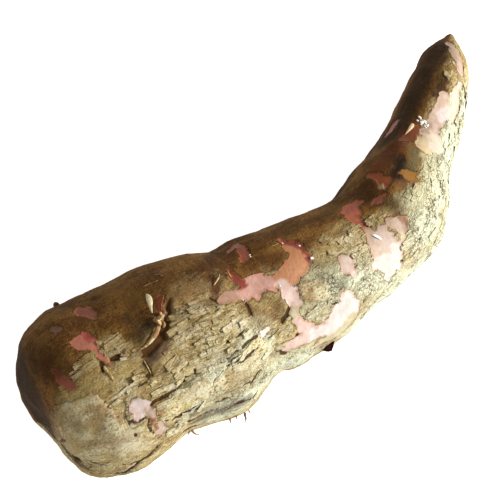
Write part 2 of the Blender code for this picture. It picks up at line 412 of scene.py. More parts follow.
stainsAndShade = [          # stains and painted shade: colour, strength, half width and softness of the edge in mm, then the line
    # painted shade: the fat end's top and far edge, darkened where they face away from the light
    ("umber", 0.95, 11, 9, [(1, 55), (1, 80), (2, 100)]),
    ("umber", 0.6, 6, 10, [(8, 74), (12, 86)]),
    # painted shade along the top of the thin end
    ("umber", 0.8, 7, 8, [(238, 52), (262, 58), (290, 62), (315, 66)]),
    ("umber", 0.4, 5, 8, [(60, 70), (100, 68), (150, 64), (190, 66)]),
    # painted shade on the fat end's cap, which faces away from the light
    ("umber", 0.7, 5, 6, [(1, 105), (1, 125), (1, 148)]),
    ("sootAndShade", 0.6, 3, 5, [(57, 93), (55, 97), (52, 100)]),
    ("plum", 0.75, 2, 3, [(59, 110), (54, 113), (49, 115)]),
    # painted shade on the bark between two scraped places
    ("oliveGrey", 0.5, 3, 5, [(139, 118), (143, 124), (147, 130)]),
    ("redBrown", 0.45, 3, 6, [(112, 84), (122, 84), (126, 92)]),
    ("redBrown", 0.5, 2, 5, [(98, 84), (101, 79), (106, 73)]),
    ("tawny", 0.45, 3, 5, [(129, 112), (131, 122), (128, 132)]),
    ("rub", 0.3, 5, 7, [(9, 108), (6, 130), (8, 148)]),
    # painted shade along the fat end's far edge
    ("sootAndShade", 0.45, 7, 6, [(1, 65), (1, 110)]),
    ("tawny", 0.5, 4, 8, [(76, 86), (84, 86), (92, 84), (98, 80)]),
    ("redBrown", 0.8, 2.2, 3.5, [(94, 80), (95, 86), (91, 91)]),
    ("sootAndShade", 0.45, 4, 7, [(100, 58), (108, 54), (114, 58)]),
    ("sootAndShade", 0.45, 3, 6, [(30, 52), (36, 47), (44, 50)]),
    # painted shade near the low edge of the fat half
    ("umber", 0.5, 2, 5, [(60, 163), (70, 168), (80, 172)]),
    # painted shade round the low edge of the fat end's cap
    ("umber", 0.7, 2.5, 4, [(2, 131), (3, 150), (4, 160), (6, 168), (9, 174)]),
    ("umber", 0.6, 3, 5, [(192, 100), (190, 110)]),
    ("umber", 0.8, 3, 4, [(286, 99), (274, 101)]),
    # painted shade on the thin arm's far flank
    ("umber", 0.85, 4, 8, [(180, 22), (205, 16), (227, 14), (245, 18)]),
    ("redBrown", 0.5, 2, 4, [(36, 50), (39, 53)]),
    ("redBrown", 0.5, 2, 4, [(31, 70), (32, 77)]),
    ("sootAndShade", 0.4, 2.5, 5, [(52, 112), (50, 120)]),
    ("sootAndShade", 0.55, 2.5, 7, [(52, 84), (55, 91), (51, 97)]),
    ("sootAndShade", 0.5, 1.5, 4, [(58, 86), (57, 93)]),
    ("rust", 0.9, 4, 3, [(240, 80), (232, 76), (224, 72), (214, 68), (205, 68)]),
    ("redBrown", 0.6, 2.5, 4, [(232, 70), (222, 66)]),
    ("redBrown", 0.6, 2.5, 4, [(206, 92), (209, 100)]),
    ("sootAndShade", 1.0, 3, 4, [(219, 80), (214, 87), (208, 90)]),
    ("oliveGrey", 0.75, 2.6, 4, [(229, 92), (222, 97), (216, 97)]),
    ("plum", 0.5, 1.5, 4, [(203, 92), (204, 100)]),
    ("plum", 0.4, 4, 5, [(21, 134), (21, 145), (18, 147)]),
    ("plum", 0.35, 3, 5, [(9, 140), (14, 128)]),
    ("straw", 0.5, 3, 6, [(12, 121), (14, 132)]),
    ("straw", 0.4, 2.5, 5, [(16, 158), (22, 162)]),
    ("chalk", 0.4, 3, 6, [(25, 151), (30, 160), (31, 147)]),
    ("chalk", 0.4, 3, 5, [(60, 146), (68, 145)]),
    ("chalk", 0.4, 3, 5, [(86, 147), (94, 143)]),
    ("rub", 0.45, 1.4, 2.2, [(24, 117), (25, 123), (26, 128)]),
    ("rub", 0.4, 1.4, 2.6, [(27, 131), (30, 138)]),
    ("rub", 0.35, 2, 4, [(43, 130), (45, 146)]),
    ("umber", 0.6, 2.5, 4, [(120, 83), (126, 86)]),
    ("umber", 0.6, 3, 5, [(188, 77), (190, 90)]),
    ("umber", 0.5, 3, 5, [(104, 70), (100, 74)]),
    ("redBrown", 0.5, 1.5, 4, [(12, 84), (10, 92), (13, 100)]),
    ("redBrown", 0.45, 1.5, 3, [(36, 62), (34, 74)]),
    ("redBrown", 0.5, 2, 4, [(117, 118), (112, 128), (100, 112)]),
    ("redBrown", 0.5, 1.5, 3, [(140, 80), (143, 92), (139, 104)]),
    ("umber", 0.65, 2.5, 5, [(62, 172), (73, 176), (84, 177)]),
    # painted shadow under the tip of the curled bark edge
    ("umber", 0.45, 2.5, 5, [(51, 113), (53, 121), (55, 126)]),
    ("umber", 0.35, 2, 4, [(9, 108), (8, 122)]),
    ("umber", 0.6, 1.5, 4, [(103, 152), (106, 156)]),
    ("sootAndShade", 0.6, 1.2, 3, [(115, 127), (114, 131)]),
    ("umber", 0.5, 2, 5, [(103, 127), (101, 120), (101, 106)]),
    ("umber", 0.6, 2.5, 5, [(99, 82), (97, 74), (104, 50)]),
    ("umber", 0.4, 2.5, 6, [(196, 42), (186, 36)]),
    ("redBrown", 0.6, 1, 2.5, [(188, 117), (187, 125)]),
    ("honey", 0.5, 4, 8, [(20, 112), (28, 113), (38, 112)]),
    # painted shade where raised plates shade the bark
    ("umber", 0.3, 3, 6, [(62, 120), (70, 122)]),
    ("umber", 0.35, 2, 5, [(88, 166), (96, 168)]),
    ("umber", 0.5, 3, 5, [(87, 98), (90, 91), (95, 86)]),
    ("redBrown", 0.5, 3, 5, [(106, 66), (112, 64), (118, 68)]),
    ("oliveGrey", 0.35, 4, 6, [(141, 104), (147, 108)]),
    ("umber", 0.35, 3, 5, [(113, 116), (111, 109)]),
    ("umber", 0.35, 3, 5, [(191, 105), (196, 100)]),
]

tornBark = {
    "groove": [(71, 86, 1.0), (68, 94, 1.2), (64.5, 99, 2.0), (60, 103, 2.8), (55, 106.5, 2.8),
               (51, 109, 2.2)],      # mm along, degrees round, half width in mm
    "depth": 1.7,       # mm, how far below the skin the torn strip lay
}


def makeSkin():
    skin = bpy.data.objects.new("bark_skin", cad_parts["cassava_root"].data.copy())
    bpy.context.collection.objects.link(skin)
    editAll(skin)
    bpy.ops.mesh.remove_doubles(threshold=0.01 * mm)
    bpy.ops.mesh.normals_make_consistent(inside=False)
    leaveEdit()
    useModifier(skin, "SUBSURF", levels=2, render_levels=2)
    useModifier(skin, "REMESH", mode="VOXEL", voxel_size=bark["voxel"] * mm)
    useModifier(skin, "SMOOTH", factor=0.5, iterations=6)
    return skin


def storeOn(piece, name, values):
    # one value or one (x, y, z) for each point of the mesh
    kind, part = ("FLOAT_VECTOR", "vector") if np.ndim(values) == 2 else ("FLOAT", "value")
    field = piece.data.attributes.new(name, kind, "POINT")
    field.data.foreach_set(part, np.asarray(values, float).ravel())


skin = makeSkin()
count = len(skin.data.vertices)
corners = [list(face.vertices) for face in skin.data.polygons]
print("skin remeshed:", count, "points")
points = readVectors(skin.data.vertices, "co") / mm
normals = readVectors(skin.data.vertex_normals, "vector")
smoothTree = BVHTree.FromPolygons(points.tolist(), corners)
straight = straighten(points)
degrees = anglesRound(straight) % 360

# torn and scraped edges wander by a noise, so every stroke below is measured from wandering points
wander = vectorField(straight, (6, 4.5, 4.5), 11) * bark["ragged"]
wander += vectorField(straight, (2.6, 2, 2), 3) * bark["frayed"]
shards = (straight / np.array((4.5, 3.4, 3.4)) + wander * 0.12).tolist()
wander += (np.array([noise.cell_vector(p)[:] for p in shards]) - 0.5) * bark["jagged"]
wandered = points + wander
slightly = points + wander * 0.35 + vectorField(straight, (3.6, 2.2, 2.2), 51) * bark["bent"]


def coverOf(half, soft, line, inner=1):
    # 1 inside a stroke and 0 outside it; inner is the share of the softness that lies inside
    return 1 - smoothStep(half - soft * inner, half + soft, strokeReach(smoothTree, line, wandered))


def coverOfAll(zones):
    return np.maximum.reduce([coverOf(*zone) for zone in zones])


bareness = np.full(count, 50.0)
flesh = np.tile(fleshColours["salmon"], (count, 1))
for colour, stroke in scrapes:
    reach = strokeReach(smoothTree, stroke, wandered) - bark["spread"]
    bareness = np.minimum(bareness, reach)
    cover = (1 - smoothStep(0.1, 1.0, reach))[:, None]
    flesh = flesh * (1 - cover) + np.array(fleshColours[colour]) * cover

crackGap = np.full(count, 9.0)
crackDepth = np.zeros(count)
for depth, line in cracks:
    reach = strokeReach(smoothTree, line, slightly)
    crackGap = np.minimum(crackGap, reach)
    crackDepth = np.maximum(crackDepth, bark["opened"] * depth * (1 - smoothStep(-0.5, 0.6, reach)))

worn = coverOfAll(smoothZones)
paleness = coverOfAll(bleached)
stainedAndShaded = np.zeros(count)
stainAndShadeColour = np.tile(stainAndShadeColours["sootAndShade"], (count, 1))
for colour, strength, half, soft, line in stainsAndShade:
    cover = strength * coverOf(half, soft, line, 0.5)
    share = (cover / np.maximum(cover + stainedAndShaded, 0.001))[:, None]
    stainAndShadeColour = stainAndShadeColour * (1 - share) + np.array(stainAndShadeColours[colour]) * share
    stainedAndShaded = np.maximum(stainedAndShaded, cover)
groove = 1 - smoothStep(-0.7, 0.8, strokeReach(smoothTree, tornBark["groove"], slightly))
print("scrapes, cracks and stains laid out")

# how brown: full below the brown edge, weaker low down on the near flank, patchy where it is hidden
bare = 1 - smoothStep(-0.55, 0.45, bareness)
turned = (degrees + 60) % 360 - 60
edgeAt = np.interp(straight[:, 0], *zip(*brownEdge))
brownness = np.clip(0.5 + (edgeAt - turned) / 44, 0, 1)
brownness *= 1 - 0.5 * (1 - smoothStep(-60, -25, turned))
brownness = np.maximum(brownness, 0.45 * smoothStep(215, 275, turned))
hidden = 1 - smoothStep(-15, 15, turned) + smoothStep(205, 235, turned)
brownness -= 0.55 * hidden * smoothStep(0.12, 0.4, fractalField(straight, (26, 11, 11), 3, 77))
rough = (1 - 0.75 * worn) * (1 - bare) * (1 - groove) * (1 - 0.45 * brownness)

# relief in mm
worn *= smoothStep(1, 6, straight[:, 0])
swells = fractalField(straight, (24, 13, 13), 2, 5)
wavy = straight / np.array((15, 8.5, 8.5)) + vectorField(straight, (9, 6, 6), 7) * 0.35
plates = [noise.voronoi(p) for p in wavy.tolist()]
edgeGap = np.array([gaps[1] - gaps[0] for gaps, _ in plates])
plateLevel = np.array([noise.noise(centres[0] * 5.3) for _, centres in plates])
broken = smoothStep(-0.15, 0.35, fractalField(straight, (20, 12, 12), 2, 31))
gaps = (1 - smoothStep(0.03, 0.17, edgeGap)) * broken * (1 - 0.6 * paleness)
stacked = fractalField(straight, (11, 5.5, 5.5), 3, 17) * bark["layerCount"]
layers = np.floor(stacked) + smoothStep(0.35, 0.65, stacked - np.floor(stacked))
crumbs = fractalField(straight, (3.4, 1.9, 1.9), 4, 23)
slits = smoothStep(0.22, 0.42, fractalField(straight, (5.5, 1.5, 1.5), 2, 41))
slits = slits * (1 - worn) * (1 - paleness)

relief = layers / bark["layerCount"] * bark["layers"] + plateLevel * bark["plates"] - gaps * bark["gaps"]
relief += crumbs * bark["crumbs"] - slits * bark["slits"]
height = swells * bark["lumps"] * (1 - 0.5 * worn) + relief * rough
height -= crackDepth * (1 - 0.5 * bare) + bare * bark["scraped"] + groove * tornBark["depth"]
for centre, line in outlines:
    away = np.abs((degrees - centre + 180) % 360 - 180)
    height += np.interp(straight[:, 0], *zip(*line)) * (1 - smoothStep(15, 70, away))
height *= 1 - 0.6 * smoothStep(*bark["endsAt"], straight[:, 0])
points += normals * height[:, None]
points[:, 2] = np.maximum(points[:, 2], 0.02)
skin.data.vertices.foreach_set("co", (points * mm).ravel())
skin.data.update()
for face in skin.data.polygons:
    face.use_smooth = True
print("bark relief pressed in")

laidOut = {
    "grain": straight,
    "flesh": flesh,
    "bareness": bareness,
    "crackGap": crackGap,
    "plateGap": edgeGap + (1 - broken * rough) * 0.3,
    "level": relief * rough,
    "worn": worn,
    "paleness": paleness,
    "stainedAndShaded": stainedAndShaded,
    "stainAndShadeColour": stainAndShadeColour,
    "brownness": brownness,
    # how far the bark faces the light, rising from the brown edge to the lit side and weaker underneath;
    # where it is low the bark gets painted shade
    "litSide": smoothStep(-8, 48, turned - edgeAt) * (1 - smoothStep(205, 255, turned) * 0.6),
    "groove": groove,
}
for name, values in laidOut.items():
    storeOn(skin, name, values)

unrolled = {        # where the skin lies on the square of the baked textures, which is 1 wide and 1 high
    "scale": 0.0027,            # for each mm
    "from": -12,                # mm along, at the left side of the wall
    "left": 0.01,
    "wall": (0.27, 0.98),       # its low and high side
    "discs": (0.16, 0.5),       # the middles of the fat end and the thin end
    "discRow": 0.13,
    "halfway": 160,             # mm along
    "discsFrom": 120,           # mm from halfway
}


def unroll(piece):
    # seam underneath, both ends as discs below the wall
    layer = piece.data.uv_layers.new(name="OFBake")
    faces = piece.data.polygons
    atCorner = readNumbers(piece.data.loops, "vertex_index")
    sizes = readNumbers(faces, "loop_total")
    lying = straighten(readVectors(faces, "center") / mm)
    fromMiddle = lying[:, 0] - unrolled["halfway"]
    facing = np.sign(fromMiddle)
    nearest = np.clip(np.searchsorted(alongMiddle, lying[:, 0]), 0, len(heading) - 1)
    isEnd = (readVectors(faces, "normal")[:, :2] * heading[nearest]).sum(1) * facing > 0.75
    isEnd = np.repeat(isEnd & (np.abs(fromMiddle) > unrolled["discsFrom"]), sizes)
    turn = ((anglesRound(straight) + 90) % 360 / 360)[atCorner]
    middleTurn = np.repeat((anglesRound(lying) + 90) % 360 / 360, sizes)
    turn += (middleTurn - turn > 0.5) * 1.0 - (turn - middleTurn > 0.5) * 1.0
    along, across, above = straight[atCorner].T
    scale, (low, high) = unrolled["scale"], unrolled["wall"]
    u = unrolled["left"] + (along - unrolled["from"]) * scale
    v = low + turn * (high - low)
    disc = np.where(np.repeat(facing, sizes) < 0, *unrolled["discs"])
    u = np.where(isEnd, disc + across * scale, u)
    v = np.where(isEnd, unrolled["discRow"] + above * scale, v)
    layer.data.foreach_set("uv", np.stack([u, v], 1).ravel())


unroll(skin)
print("skin unrolled")


# shader maths as plain expressions

class Wire:
    def __init__(self, finish, socket):
        self.finish = finish
        self.socket = socket

    def __add__(self, other):
        return self.finish.maths("ADD", self, other)

    def __sub__(self, other):
        return self.finish.maths("SUBTRACT", self, other)

    def __rsub__(self, other):
        return self.finish.maths("SUBTRACT", other, self)

    def __mul__(self, other):
        return self.finish.maths("MULTIPLY", self, other)

    __radd__ = __add__
    __rmul__ = __mul__


class Finish:
    def __init__(self, name):
        self.material = bpy.data.materials.new(name)
        self.material.use_nodes = True
        self.tree = self.material.node_tree
        self.tree.nodes.clear()

    def node(self, kind, settings=None, inputs=None, output=0):
        made = self.tree.nodes.new(kind)
        for name, value in (settings or {}).items():
            setattr(made, name, value)
        for name, value in (inputs or {}).items():
            if isinstance(value, Wire):
                self.tree.links.new(value.socket, made.inputs[name])
            elif isinstance(value, tuple) and len(value) == 3 and len(made.inputs[name].default_value) == 4:
                made.inputs[name].default_value = (*value, 1)
            else:
                made.inputs[name].default_value = value
        return Wire(self, made.outputs[output]) if made.outputs else None

    def maths(self, operation, *values):
        return self.node("ShaderNodeMath", {"operation": operation}, dict(enumerate(values)))

    def vectorMaths(self, operation, first, second):
        return self.node("ShaderNodeVectorMath", {"operation": operation}, {0: first, 1: second})

    def stored(self, name, output="Fac"):
        return self.node("ShaderNodeAttribute", {"attribute_name": name}, output=output)

    def step(self, value, low, high):
        settings = {"interpolation_type": "SMOOTHSTEP"}
        return self.node("ShaderNodeMapRange", settings, {"Value": value, "From Min": low, "From Max": high})

    def mix(self, factor, first, second, blend="MIX"):
        settings = {"data_type": "RGBA", "blend_type": blend}
        return self.node("ShaderNodeMix", settings, {0: factor, 6: first, 7: second}, output=2)

    def coats(self, colour, *coats):
        # each coat is a mask and the bark colour that it lays over the rest
        for mask, name in coats:
            colour = self.mix(mask, colour, barkColours[name])
        return colour

    def flakes(self, value, steps):
        # the value in level steps from 0 to 1, with the foot and the lip of each step
        climbing = value * float(steps)
        floor = self.maths("FLOOR", climbing)
        part = climbing - floor
        foot = self.step(part, 0.5, 0.78) * (1 - self.step(part, 0.8, 0.92))
        lip = self.step(part, 0.9, 0.98) + (1 - self.step(part, 0.02, 0.2))
        return (floor + self.step(part, 0.76, 0.98)) * (1 / steps), foot, lip

    def stretch(self, vector, by):
        return self.vectorMaths("MULTIPLY", vector, by)

    def noise(self, vector, scale, detail=3.0, roughness=0.55, distortion=0.0, output=0):
        values = {"Vector": vector, "Scale": scale, "Detail": detail, "Roughness": roughness,
                  "Distortion": distortion}
        return self.node("ShaderNodeTexNoise", {}, values, output)

    def cellEdges(self, grain, cells, along, scale, detail, by):
        # how far it is to the edge of a cell, with the grain drawn out along the root
        # and a noise colour pushing it up to half of by each way
        push = self.vectorMaths("SUBTRACT", self.noise(grain, scale, detail, 0.5, output=1), (0.5, 0.5, 0.5))
        shaken = self.vectorMaths("ADD", self.stretch(grain, (along, 1, 1)), self.stretch(push, (by, by, by)))
        settings = {"feature": "DISTANCE_TO_EDGE"}
        return self.node("ShaderNodeTexVoronoi", settings, {"Vector": shaken, "Scale": cells})

    def bump(self, heights, strength, distance):
        values = {"Strength": strength, "Distance": distance * mm, "Height": heights}
        return self.node("ShaderNodeBump", {}, values)

    def finishWith(self, **inputs):
        named = {name.replace("_", " "): value for name, value in inputs.items()}
        surface = self.node("ShaderNodeBsdfPrincipled", {}, named)
        self.node("ShaderNodeOutputMaterial", {}, {"Surface": surface})
        return self.material


barkColours = palette({
    "dark": "6e5028", "brown": "907648", "olive": "a08c5a", "tan": "b6a67a",
    "pale": "ccc4aa", "bleached": "d4dac4", "paintedShade": "d6be94", "lip": "dcd4aa",
    "skinBrown": "644014", "skinTan": "8f6b34", "wornGrey": "ac9970", "wornPale": "d4ccac",
    "wornYellow": "b2a26a", "pit": "4a3014", "groove": "6a4a26", "cutEdgeAndShade": "4e2c18",
    "rim": "b88450",
})

fleshShades = {     # what the flesh is multiplied by where it is blotched, streaked or near its margin
    "blotched": (0.94, 0.88, 0.85),
    "streaked": (0.93, 0.86, 0.82),
    "margin": (0.8, 0.6, 0.52),
}

barkGrain = {       # scale along and across the root, lumps to the mm, detail, roughness, distortion
    "mottle": (0.62, 1, 0.1, 4, 0.6),
    "patchy": (1, 1, 0.05, 3),
    "crumb": (0.62, 1, 0.8, 5, 0.65),
    "fine": (0.62, 1, 2.4, 3, 0.6),
    "ragged": (0.62, 1, 0.2, 6, 0.7),
    "wide": (0.25, 1, 0.2, 4, 0.52, 0.7),
    "narrow": (0.4, 1, 0.45, 3, 0.55, 0.6),
    "clusters": (1, 1, 0.11, 4, 0.6),
    "flecks": (0.4, 1, 0.75, 3, 0.55, 0.3),
    "specks": (0.62, 1, 1.2, 3, 0.6),
    "cracked": (1, 1, 0.16, 3),
    "blotch": (0.62, 1, 0.13, 7, 0.68, 0.5),
    "wrinkles": (1, 0.2, 0.55, 4, 0.6, 0.5),
    "pores": (1, 0.5, 0.95, 2, 0.5),
    "streaks": (1, 0.4, 0.9, 3),
    "blotches": (1, 1, 0.33, 4, 0.6),
}

barkCells = {       # cells to the mm, scale along the root, then the shaking: lumps to the mm, detail, mm
    "hairCracks": (0.2, 0.34, 0.42, 4, 3.6),
    "crumbs": (0.62, 0.8, 0.7, 3, 2.4),
}


def barkFinish():
    f = Finish("cassava_bark")
    grain = f.stored("grain", "Vector")

    def grained(name):
        along, across, *rest = barkGrain[name]
        return f.noise(f.stretch(grain, (along, across, across)), *rest)

    mottle, patchy, crumb = grained("mottle"), grained("patchy"), grained("crumb")
    fine, ragged = grained("fine"), grained("ragged")
    level = f.stored("level")
    paleness = f.stored("paleness")
    worn = f.step(f.stored("worn") + (ragged - 0.5) * 0.8, 0.3, 0.7)
    # the smooth brown outer skin, which has flaked off the rest in ragged edges
    brown = f.step(f.stored("brownness") + (ragged - 0.5), 0.38, 0.62)
    litSide = f.stored("litSide")
    rough = (1 - worn * 0.85) * (1 - brown * 0.55) * (0.6 + litSide * 0.4) * (1 - paleness * 0.35)

    # thin flakes of cork lying in steps, each with a crisp edge, and small dark flecks in clusters
    wide, wideFootShade, wideLipHighlight = f.flakes(grained("wide"), 10)
    narrow, narrowFootShade, narrowLipHighlight = f.flakes(grained("narrow"), 6)
    clustered = f.step(grained("clusters"), 0.42, 0.6)
    flecks = f.step(grained("flecks"), 0.58, 0.64) * (clustered * 0.7 + 0.3) * (1 - paleness * 0.25)
    specks = f.step(grained("specks") + worn * 0.05, 0.58, 0.66)
    hairCracks = 1 - f.step(f.cellEdges(grain, *barkCells["hairCracks"]), 0.01, 0.04)
    hairCracks = hairCracks * f.step(grained("cracked"), 0.5, 0.58) * (1 - paleness * 0.7)

    # crumbs of cork a millimetre or two across, with dark gaps here and there
    crumbEdge = f.cellEdges(grain, *barkCells["crumbs"])
    crumbGaps = (1 - f.step(crumbEdge, 0.03, 0.15)) * (clustered * 0.6 + 0.4) * (0.25 + paleness * 0.75)

    # the corky bark, the places where it is worn, and the smooth brown skin with its creases and pores
    colour = f.coats(
        barkColours["brown"],
        (f.step(crumb + level * 0.1, 0.36, 0.6), "olive"),
        (f.step(mottle + level * 0.12, 0.4, 0.62), "tan"),
        (f.step(narrow * 0.5 + patchy * 0.6 + level * 0.1, 0.5, 0.72), "pale"),
        (paleness * f.step(crumb + wide * 0.3, 0.35, 0.62), "bleached"))
    blotch = grained("blotch")
    wornTone = f.coats(
        barkColours["wornGrey"],
        (f.step(blotch + (fine - 0.5) * 0.3, 0.42, 0.56), "wornPale"),
        (f.step(patchy + (crumb - 0.5) * 0.6, 0.5, 0.66) * 0.7, "wornYellow"))
    wrinkles = grained("wrinkles")
    creases = f.step(wrinkles, 0.52, 0.6) * (1 - f.step(wrinkles, 0.6, 0.7)) * f.step(patchy, 0.42, 0.6)
    pores = f.step(grained("pores"), 0.63, 0.68)
    skinTone = f.coats(
        barkColours["skinBrown"],
        (f.step(mottle + (fine - 0.5) * 0.7 + (crumb - 0.5) * 0.5, 0.35, 0.65), "skinTan"),
        (creases * 0.22, "dark"),
        (pores * 0.3, "olive"))
    # painted highlight: the lip of each flake step is lightened
    colour = f.coats(
        colour,
        (wideLipHighlight * rough * 0.6 * (1 - paleness * 0.6), "lip"),
        (narrowLipHighlight * rough * 0.3, "lip"))
    # painted shade: the bark is darkened towards the brown edge, away from the lit side
    colour = f.mix((1 - litSide) * 0.65, colour, barkColours["paintedShade"], "MULTIPLY")
    colour = f.mix(worn * 0.9, colour, wornTone)
    colour = f.mix(brown, colour, skinTone)
    colour = f.coats(
        colour,
        (crumbGaps * rough * (0.5 + paleness * 0.05), "dark"),
        (crumbGaps * clustered * paleness * rough * 1.2, "pit"),
        (flecks * paleness * rough, "pit"),
        # painted shade at the foot of each flake step, with dirt where the flecks cluster
        (wideFootShade * rough * (0.15 + clustered * 0.5) * (1 - paleness * 0.6), "dark"),
        (narrowFootShade * rough * (0.05 + clustered * 0.22), "dark"),
        (flecks * 0.42 * rough, "dark"),
        (specks * (0.3 + worn * 0.25 + paleness * 0.2), "dark"),
        (hairCracks * 0.45 * rough, "dark"))

    # stains with painted shade, gaps and cracks
    stainedAndShaded = f.step(f.stored("stainedAndShaded") + (ragged - 0.5) * 0.5, 0.1, 0.9)
    colour = f.mix(stainedAndShaded, colour, f.stored("stainAndShadeColour", "Color"))
    plateGap = 1 - f.step(f.stored("plateGap") + (crumb - 0.5) * 0.25, 0.02, 0.09)
    crackGap = f.stored("crackGap") + (fine - 0.5) * 0.5 + (crumb - 0.5) * 0.8
    cracked = 1 - f.step(crackGap, -0.2, 0.1)
    colour = f.coats(
        colour,
        (plateGap * rough * 0.4, "dark"),
        (cracked * 0.92, "pit"),
        (f.stored("groove"), "groove"))

    # the scraped places: dark crumbs of torn bark round them, which also serve as painted shade at the step
    # down to the flesh, then flesh, blotched and a little streaked, with amber rims
    bareness = f.stored("bareness") + (fine - 0.5) * 0.7 + (crumb - 0.5) * 1.1
    cutEdgeAndShade = f.step(bareness, -0.1, 0.25) * (1 - f.step(bareness, 0.4, 1.5))
    colour = f.coats(colour, (cutEdgeAndShade * f.step(crumb * 0.6 + mottle * 0.4, 0.46, 0.58) * 0.7, "cutEdgeAndShade"))
    streaks, blotches = grained("streaks"), grained("blotches")
    flesh = f.stored("flesh", "Color")
    shaded = {
        "blotched": f.step(blotches, 0.35, 0.62),
        "streaked": f.step(streaks, 0.45, 0.7) * 0.5,
        "margin": f.step(bareness, -1.8, -0.3) * f.step(mottle, 0.42, 0.55) * 0.5,
    }
    for name, mask in shaded.items():
        flesh = f.mix(mask, flesh, fleshShades[name], "MULTIPLY")
    flesh = f.coats(flesh, (f.step(bareness, -0.9, -0.2) * f.step(ragged, 0.48, 0.62) * 0.5, "rim"))
    isBare = 1 - f.step(bareness, -0.4, 0.35)
    colour = f.mix(isBare, colour, flesh)

    # heights in mm
    layered = (wide - 0.5) * 2.2 + (narrow - 0.5) * 0.6
    crumbled = (crumb - 0.5) * 1.2 + f.step(crumbEdge, 0, 0.3) * 0.4
    heights = layered * (1 - paleness * 0.65) + crumbled * (0.25 + paleness * 0.75)
    heights = (heights - flecks * 0.3 - specks * 0.15 - hairCracks * 0.25 - plateGap * 0.3) * rough
    heights = heights + brown * (0.25 + wrinkles * 0.5 + pores * 0.12) + crumb * 0.2 + fine * 0.15
    heights = heights + mottle * 0.4 + worn * (blotch * 1.2 + crumb * 0.5) - cutEdgeAndShade * 0.2 - cracked * 0.9
    heights = heights * (1 - isBare) + (0.35 + streaks * 0.12 + blotches * 0.3) * isBare
    roughness = 0.92 - isBare * 0.4 + (fine - 0.5) * 0.1
    return f.finishWith(Base_Color=colour, Roughness=roughness, Normal=f.bump(heights, 0.8, 1),
                        Specular_IOR_Level=0.35)


skinFinish = barkFinish()
skin.data.materials.clear()
skin.data.materials.append(skinFinish)
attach(skin, "root")
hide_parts("cassava_root")
print("bark finished")


# the bits that stand off the skin: most are drawn out of a small flat blank, point by point

surface = BVHTree.FromPolygons(points.tolist(), corners)


def placeOn(along, degrees, lift=0.0):
    hit, normal = spotOn(surface, along, degrees)
    return hit + normal * lift, normal


def skinPointAt(place):
    return corners[surface.find_nearest(place)[2]][0]


def sortPoints(piece):
    # extruding leaves the points in an order that changes from run to run, and random moves follow that order
    editAll(piece)
    bpy.ops.mesh.sort_elements(type="CURSOR_DISTANCE", elements={"VERT", "EDGE", "FACE"})
    leaveEdit()


def putInPlace(piece, scale, turn, at):
    # scaled, turned and moved, with all of that put into the mesh
    piece.scale = scale
    piece.rotation_euler = turn
    piece.location = at
    bpy.ops.object.transform_apply(location=True, rotation=True, scale=True)
    return piece


def drawOut(stops, flat, sides=8, twist=0):
    # stops are (mm along, degrees round, mm off the skin, width in mm); flat is thickness over width
    places = [placeOn(*stop[:3]) for stop in stops]
    path = [place[0] * mm for place in places]
    ways = [(path[min(i + 1, len(path) - 1)] - path[max(i - 1, 0)]).normalized() for i in range(len(path))]
    side = places[0][1].cross(ways[0]).normalized()
    axes = Matrix((side, ways[0].cross(side), ways[0])).transposed()
    deselect()
    bpy.ops.mesh.primitive_circle_add(vertices=sides, radius=0.5 * mm, fill_type="NGON")
    piece = putInPlace(bpy.context.object, (stops[0][3], stops[0][3] * flat, 1), axes.to_euler(), path[0])
    editAll(piece)
    for i in range(1, len(path)):
        bpy.ops.mesh.extrude_region_move(TRANSFORM_OT_translate={"value": path[i] - path[i - 1]})
        bpy.ops.transform.resize(value=[stops[i][3] / stops[i - 1][3]] * 3, center_override=path[i])
        turn = Quaternion(ways[i], math.radians(twist)) @ ways[i - 1].rotation_difference(ways[i])
        for axis, angle in zip("XYZ", turn.to_euler()):
            bpy.ops.transform.rotate(value=-angle, orient_axis=axis, center_override=path[i])
    bpy.ops.mesh.select_all(action="SELECT")
    bpy.ops.mesh.normals_make_consistent(inside=False)
    leaveEdit()
    sortPoints(piece)
    useModifier(piece, "SUBSURF", levels=2, render_levels=2)
    sortPoints(piece)
    bpy.ops.object.shade_smooth()
    return piece


def joinAs(name, pieces):
    selectOnly(pieces[0])
    for piece in pieces:
        piece.select_set(True)
    if len(pieces) > 1:
        bpy.ops.object.join()
    pieces[0].name = name
    pieces[0].data.name = name
    return pieces[0]


def roughen(piece, by, seed):
    # by is in mm
    editAll(piece)
    bpy.ops.transform.vertex_random(offset=by * mm, uniform=0, normal=0, seed=seed)
    leaveEdit()


def makeLump(radius, scale, turn, at, by, seed):
    deselect()
    bpy.ops.mesh.primitive_ico_sphere_add(subdivisions=2, radius=radius * mm)
    lump = putInPlace(bpy.context.object, scale, turn, at * mm)
    roughen(lump, by * radius, seed)
    return lump


def fitOut(piece, finish):
    piece.data.materials.clear()
    piece.data.materials.append(finish)
    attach(piece, "root")


def plainFinish(name, low, high, scale, roughness, bumpiness, under=None):
    # two tones, or three with under, and an uneven surface; scale is in lumps to the metre, bumpiness in mm
    f = Finish(name)
    where = f.node("ShaderNodeTexCoord", output="Object")
    broad = f.noise(where, scale, 4, 0.6)
    narrow = f.noise(where, scale * 4, 3, 0.6)
    colour = f.mix(f.step(broad + (narrow - 0.5) * 0.4, 0.4, 0.6), hexColour(low), hexColour(high))
    if under:
        colour = f.mix(f.step(f.noise(where, scale * 0.6, 2), 0.5, 0.62) * 0.7, colour, hexColour(under))
    bump = f.bump(broad + narrow * 0.5, 0.7, bumpiness)
    uneven = roughness + (narrow - 0.5) * 0.15
    return f.finishWith(Base_Color=colour, Roughness=uneven, Normal=bump, Specular_IOR_Level=0.4)


